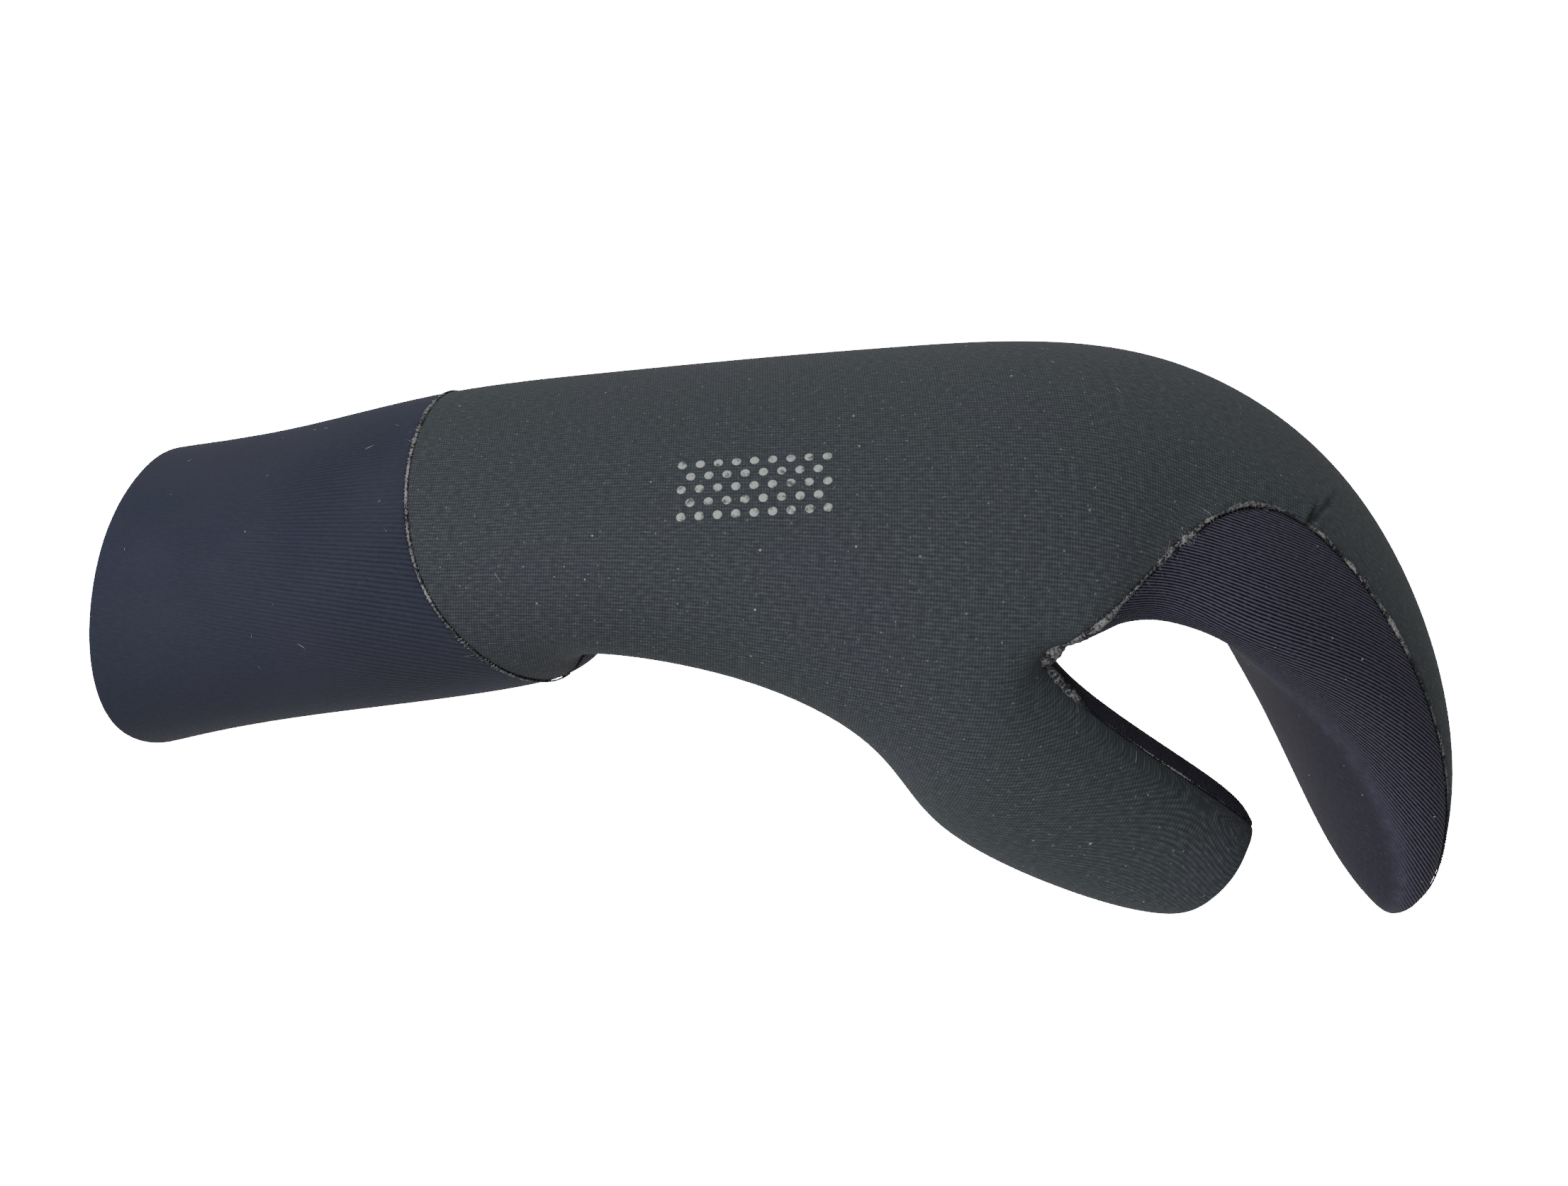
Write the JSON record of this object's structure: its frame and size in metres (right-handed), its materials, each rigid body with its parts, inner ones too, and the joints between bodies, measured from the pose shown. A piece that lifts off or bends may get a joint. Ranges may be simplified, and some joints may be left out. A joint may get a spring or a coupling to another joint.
{
  "type": "palmless paddling mitten",
  "caption": "Left-hand palmless mitten, pre-curved round a grip: tubular cuff, back panel wrapping the thumb, ribbed palm side with an open palm.",
  "frame": {"origin": "centre of the cuff's mouth, where the hand goes in", "axes": "+X from the cuff to the knuckles, +Y towards the little finger, +Z out of the back of the hand"},
  "size_m": [0.2451, 0.1009, 0.0992],
  "materials": {
    "cuff_jersey": "smooth dark navy jersey over foam, faint fine ribs",
    "back_jersey": "matt grey-green jersey over foam, fine cross weave, light lint",
    "palm_rib": "fine raised ribs in purple-black stretch fabric, slight sheen"
  },
  "bodies": {
    "root": {"cuff": "cuff_jersey", "back_panel": "back_jersey", "palm_panel": "palm_rib"}
  },
  "joints": []
}
